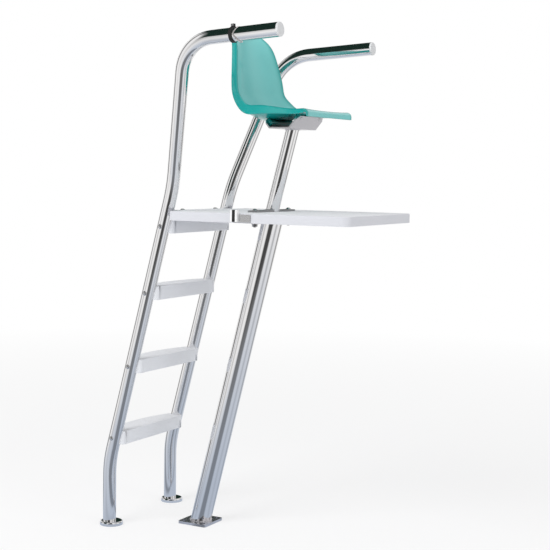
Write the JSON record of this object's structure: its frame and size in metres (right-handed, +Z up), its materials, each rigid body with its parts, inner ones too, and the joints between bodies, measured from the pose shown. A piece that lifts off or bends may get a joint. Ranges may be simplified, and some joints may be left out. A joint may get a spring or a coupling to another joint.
{
  "type": "lifeguard chair",
  "caption": "Deck-mounted lifeguard lookout chair: two bent rails with treads form a ladder and arm rails, a leaning pedestal carries a platform, and a post holds a moulded bucket seat.",
  "frame": {"origin": "centre of the pedestal base plate's underside, on the deck, where the chair is bolted down", "axes": "+Z up from the deck; -Y the way the sitter looks; +X to the sitter's left"},
  "size_m": [0.7626, 1.031, 1.8375],
  "materials": {
    "stainless": "polished stainless tube and plate",
    "post_ear": "dull dark steel bar",
    "fasteners": "plain stainless hardware",
    "white_plastic": "satin white moulded plastic",
    "seat_plastic": "satin teal moulded plastic",
    "black_rubber": "black rubber strip",
    "white_trim": "white plastic trim",
    "joint_metal": "plain plate",
    "clip_plastic": "black moulded clip"
  },
  "bodies": {
    "root": {"rail_left": "stainless", "rail_right": "stainless", "foot_flange_right": "stainless", "foot_flange_left": "stainless", "pedestal_base_plate": "stainless", "pedestal_tube": "stainless", "pedestal_top_plate": "stainless", "seat_post": "stainless", "seat_bracket": "stainless", "rail_cap_right": "stainless", "rail_cap_left": "stainless", "post_ear_right": "post_ear", "post_ear_left": "post_ear", "tread_bolts": "fasteners", "platform_bolts": "fasteners", "platform_washers": "fasteners", "platform_nuts": "fasteners", "rear_board_screws": "fasteners", "seat_screws": "fasteners", "arm_clip_screw": "fasteners", "tread_1": "white_plastic", "tread_2": "white_plastic", "tread_3": "white_plastic", "tread_4": "white_plastic", "rear_board": "white_plastic", "front_board": "white_plastic", "seat_shell": "seat_plastic", "joint_strip": "black_rubber", "joint_trim_front": "white_trim", "joint_trim_rear": "white_trim", "joint_plate": "joint_metal", "arm_clip": "clip_plastic"}
  },
  "joints": []
}
